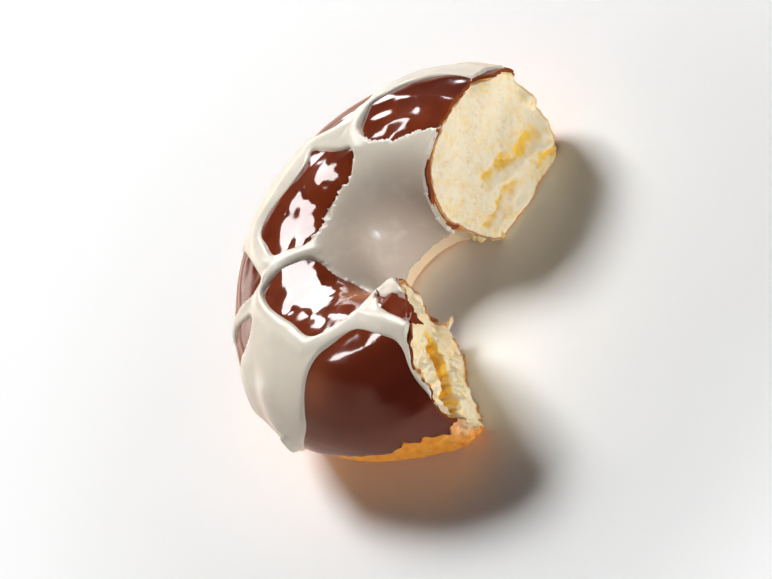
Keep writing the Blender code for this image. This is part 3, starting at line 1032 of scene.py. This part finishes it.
# Scraps of crumb and chips of icing that hang on the torn edges
scraps = {
    "around": 26,
    "upright": 17,
    "rough": 0.45,
    # theta, phi, offset from the skin, size
    "crumb": (
        (17.0, 222.0, -0.3, 1.0), (22.0, 226.0, 0.0, 0.7), (28.0, 224.0, 0.1, 0.5),
        (13.0, 232.0, -0.6, 0.9), (35.0, 231.0, 0.0, 0.45), (9.0, 238.0, -0.7, 0.7),
        (19.5, 214.0, 0.2, 0.5),
        (237.5, 212.5, -0.1, 0.60), (240.0, 212.0, 0.05, 0.50), (242.0, 211.2, 0.15, 0.42),
        (243.8, 210.2, 0.25, 0.36), (245.4, 209.2, 0.35, 0.30), (246.8, 208.2, 0.45, 0.22),
    ),
    "icing": (
        (16.5, 172.0, 1.5, 0.45), (18.0, 186.0, 1.5, 0.55), (14.5, 160.0, 1.4, 0.4),
        (20.0, 192.0, 1.4, 0.5), (17.0, 150.0, 1.6, 0.35),
    ),
}


def lumpGrid():
    # Directions from a point: round in equal steps, and up from pole to pole without the poles
    turn = np.linspace(0.0, 2.0 * math.pi, scraps["around"], endpoint=False)
    lean = np.linspace(0.0, math.pi, scraps["upright"] + 2)[1:-1, None]
    flat = np.sin(lean)
    spots = np.stack([flat * np.cos(turn), flat * np.sin(turn), np.cos(lean) + 0.0 * turn], axis=-1)
    return np.concatenate([[[0.0, 0.0, 1.0]], spots.reshape(-1, 3), [[0.0, 0.0, -1.0]]])


def makeLumps(name, places, look):
    # Each lump is a ball whose radius is size times (1 + noise), with its own noise
    directions = lumpGrid()
    around, upright = scraps["around"], scraps["upright"]
    rings = np.arange(around * upright).reshape(upright, around) + 1
    turned = np.roll(rings, -1, axis=1)
    quads = np.stack([rings[:-1], rings[1:], turned[1:], turned[:-1]], axis=-1).reshape(-1, 4)
    top = np.stack([np.zeros(around, int), rings[0], turned[0]], axis=-1)
    bottom = np.stack([np.full(around, len(directions) - 1), turned[-1], rings[-1]], axis=-1)
    triangles = np.concatenate([top, bottom])
    points, allQuads, allTriangles = [], [], []
    for count, (theta, phi, offset, size) in enumerate(places):
        middle = skinPoint(np.array(theta), np.array(phi), np.array(offset))
        bumpy = noise(directions + 3.0 * count, 0.9, 19) + 0.6 * noise(directions + 3.0 * count, 0.42, 20)
        spots = middle + size * (1.0 + scraps["rough"] * bumpy[:, None]) * directions
        spots[:, 2] = np.maximum(spots[:, 2], 0.0)
        points.append(spots)
        allQuads.append(quads + count * len(directions))
        allTriangles.append(triangles + count * len(directions))
    points = np.concatenate(points)
    values = {"inside": np.full(len(points), 1.0), "thick": np.full(len(points), 1.0)}
    values["gold"] = 0.35 + 0.6 * noise(points, 1.2, 21)
    return addMesh(
        name, points, np.concatenate(allQuads), np.concatenate(allTriangles), look, (), values
    )


makeLumps("crumb_scraps", scraps["crumb"], doughFinish)
makeLumps("icing_chips", scraps["icing"], icingFinish)


# Floor, light and camera
def pointAt(item, place, target):
    item.location = place
    item.rotation_euler = (Vector(target) - Vector(place)).to_track_quat("-Z", "Y").to_euler()


# sizes in metres
studio = {
    "distance": 1.2,
    "target": (0.0, 0.0, 0.014),
    # lamps that light: azimuth and elevation of the middle, width, height, light on a sheet that
    # faces the lamp, as a share of plain white
    "lights": {
        "key": (86.0, 46.0, 0.38, 0.38, 1.14),
        "front": (-70.0, 2.0, 0.60, 0.08, 0.60),
        "left": (148.0, 5.0, 0.40, 0.10, 0.33),
    },
    # cards that light only gloss, and much brighter than plain white, which is radiance 1: azimuth
    # and elevation, width, height, shape, radiance, colour
    "cards": {
        "main": (57.0, 48.0, 0.74, 1.50, "ELLIPSE", 19.0, (1.0, 1.0, 1.0)),
        "strip": (114.0, 55.0, 0.30, 0.12, "RECTANGLE", 19.0, (1.0, 1.0, 1.0)),
        "low": (83.0, 17.0, 0.15, 0.50, "RECTANGLE", 13.0, (1.0, 1.0, 1.0)),
        "sheen": (-76.0, 2.5, 0.24, 0.16, "ELLIPSE", 170.0, (0.84, 0.89, 1.0)),
    },
    "fill": (0.034, 0.031, 0.028),
    # what gloss sees of the room: dark above, pale below the horizon's heights of direction, and
    # round panels: azimuth and elevation, angles where they end and are full, colour
    "above": (0.03, 0.03, 0.03),
    "below": (0.80, 0.60, 0.47),
    "horizon": (-0.10, 0.20),
    "panels": {
        "warm": (156.0, -17.0, 72.0, 52.0, (0.95, 0.62, 0.46)),
        "back": (106.0, -12.0, 34.0, 22.0, (3.1, 2.6, 2.35)),
    },
    "floor": (0.97, 0.97, 0.97),
    "floorHalf": 3.0,  # half the floor's side
    # distances in metres at which it begins to turn plain white and is so, for each kind of ray
    "white": {"Is Camera Ray": (0.070, 0.140), "Is Glossy Ray": (0.04, 0.07)},
    "farFloor": (1.0, 0.68, 0.54),  # as gloss sees it
}


def direction(azimuth, elevation):
    # Unit vector: cos elevation times (cos azimuth, sin azimuth), and sin elevation upwards
    flat, turn = math.cos(elevation * degree), azimuth * degree
    return Vector((flat * math.cos(turn), flat * math.sin(turn), math.sin(elevation * degree)))


def makeLamp(name, azimuth, elevation, width, height, shape="RECTANGLE"):
    lamp = bpy.data.lights.new(name, "AREA")
    lamp.shape = shape
    lamp.size, lamp.size_y = width, height
    item = bpy.data.objects.new(name, lamp)
    pointAt(item, studio["distance"] * direction(azimuth, elevation), studio["target"])
    item.visible_camera = False
    bpy.context.scene.collection.objects.link(item)
    return item


def makeLamps():
    # A lamp's light on a sheet is radiance * area / distance squared, of which plain white takes
    # pi, and its energy is radiance * pi * area
    for name, (azimuth, elevation, width, height, share) in studio["lights"].items():
        item = makeLamp("light_" + name, azimuth, elevation, width, height)
        item.data.energy = share * (math.pi * studio["distance"]) ** 2
        item.visible_glossy = False
    for name, (azimuth, elevation, width, height, shape, radiance, color) in studio["cards"].items():
        item = makeLamp("card_" + name, azimuth, elevation, width, height, shape)
        area = width * height * (math.pi / 4.0 if shape == "ELLIPSE" else 1.0)
        item.data.energy = radiance * math.pi * area
        item.data.color = color
        item.visible_diffuse = False


def makeWorld():
    # White to the camera, a faint fill for light, and to gloss a room that is dark above and pale
    # below, with two panels, of which "back" is brighter than white
    world = bpy.data.worlds.new("studio")
    world.use_nodes = True
    tree = world.node_tree
    rays = addNode(tree, "ShaderNodeLightPath")
    place = addNode(tree, "ShaderNodeTexCoord").outputs["Generated"]
    height = addNode(tree, "ShaderNodeSeparateXYZ", links={0: place}).outputs["Z"]
    room = mixColor(tree, mapRange(tree, height, *studio["horizon"]), studio["below"], studio["above"])
    for azimuth, elevation, ends, full, color in studio["panels"].values():
        dot = addNode(tree, "ShaderNodeVectorMath", links={0: place}, operation="DOT_PRODUCT")
        dot.inputs[1].default_value = direction(azimuth, elevation)
        near = mapRange(tree, dot.outputs["Value"], math.cos(ends * degree), math.cos(full * degree))
        room = mixColor(tree, near, room, color)
    color = mixColor(tree, rays.outputs["Is Glossy Ray"], studio["fill"], room)
    color = mixColor(tree, rays.outputs["Is Camera Ray"], color, (1.0, 1.0, 1.0))
    tree.links.new(color, tree.nodes["Background"].inputs["Color"])
    bpy.context.scene.world = world


def makeFloor():
    # A pale sheet that turns to plain white away from the doughnut for the camera, and to the far
    # floor's warmer colour for gloss
    mesh = bpy.data.meshes.new("floor")
    half = studio["floorHalf"]
    corners = [(-half, -half, 0), (half, -half, 0), (half, half, 0), (-half, half, 0)]
    mesh.from_pydata(corners, [], [(0, 1, 2, 3)])
    look = bpy.data.materials.new("floor")
    look.use_nodes = True
    tree = look.node_tree
    tree.nodes.clear()
    place = addNode(tree, "ShaderNodeTexCoord").outputs["Object"]
    length = addNode(tree, "ShaderNodeVectorMath", links={0: place}, operation="LENGTH")
    rays = addNode(tree, "ShaderNodeLightPath")
    seen = []
    for ray, (begins, full) in studio["white"].items():
        far = mapRange(tree, length.outputs["Value"], begins, full)
        seen.append(combine(tree, "MULTIPLY", far, rays.outputs[ray]))
    factor = combine(tree, "MAXIMUM", *seen)
    matt = addNode(tree, "ShaderNodeBsdfDiffuse", {"Color": (*studio["floor"], 1.0)})
    white = addNode(tree, "ShaderNodeEmission", {"Strength": 1.0})
    seenColor = mixColor(tree, rays.outputs["Is Glossy Ray"], (1.0, 1.0, 1.0), studio["farFloor"])
    tree.links.new(seenColor, white.inputs["Color"])
    mix = addNode(tree, "ShaderNodeMixShader")
    tree.links.new(factor, mix.inputs[0])
    tree.links.new(matt.outputs[0], mix.inputs[1])
    tree.links.new(white.outputs[0], mix.inputs[2])
    output = addNode(tree, "ShaderNodeOutputMaterial")
    tree.links.new(mix.outputs[0], output.inputs["Surface"])
    mesh.materials.append(look)
    item = bpy.data.objects.new("floor", mesh)
    bpy.context.scene.collection.objects.link(item)


view = {
    "roll": -49.43,
    "eye": (16.8, -565.0, 489.0),  # from the ring's centre
    "aim": (-9.0, 2.0, 14.0),  # near the middle of what is left of the ring
    "lens": 170.0,
}


def makeCamera():
    # Looks from the eye at the aim, and is rolled about that line
    data = bpy.data.cameras.new("camera")
    data.sensor_width = 36.0
    data.lens = view["lens"]
    item = bpy.data.objects.new("camera", data)
    eye = (Vector(view["eye"]) + Vector(centre)) * metres
    aim = (Vector(view["aim"]) + Vector(centre)) * metres
    forward = (aim - eye).normalized()
    level = forward.cross(Vector((0.0, 0.0, 1.0))).normalized()
    upright = level.cross(forward)
    roll = view["roll"] * degree
    right = level * math.cos(roll) + upright * math.sin(roll)
    up = upright * math.cos(roll) - level * math.sin(roll)
    turned = Matrix((right, up, -forward)).transposed().to_4x4()
    turned.translation = eye
    item.matrix_world = turned
    bpy.context.scene.collection.objects.link(item)
    bpy.context.scene.camera = item


makeLamps()
makeWorld()
makeFloor()
makeCamera()
bpy.context.scene.view_settings.view_transform = "Standard"
print("studio made")
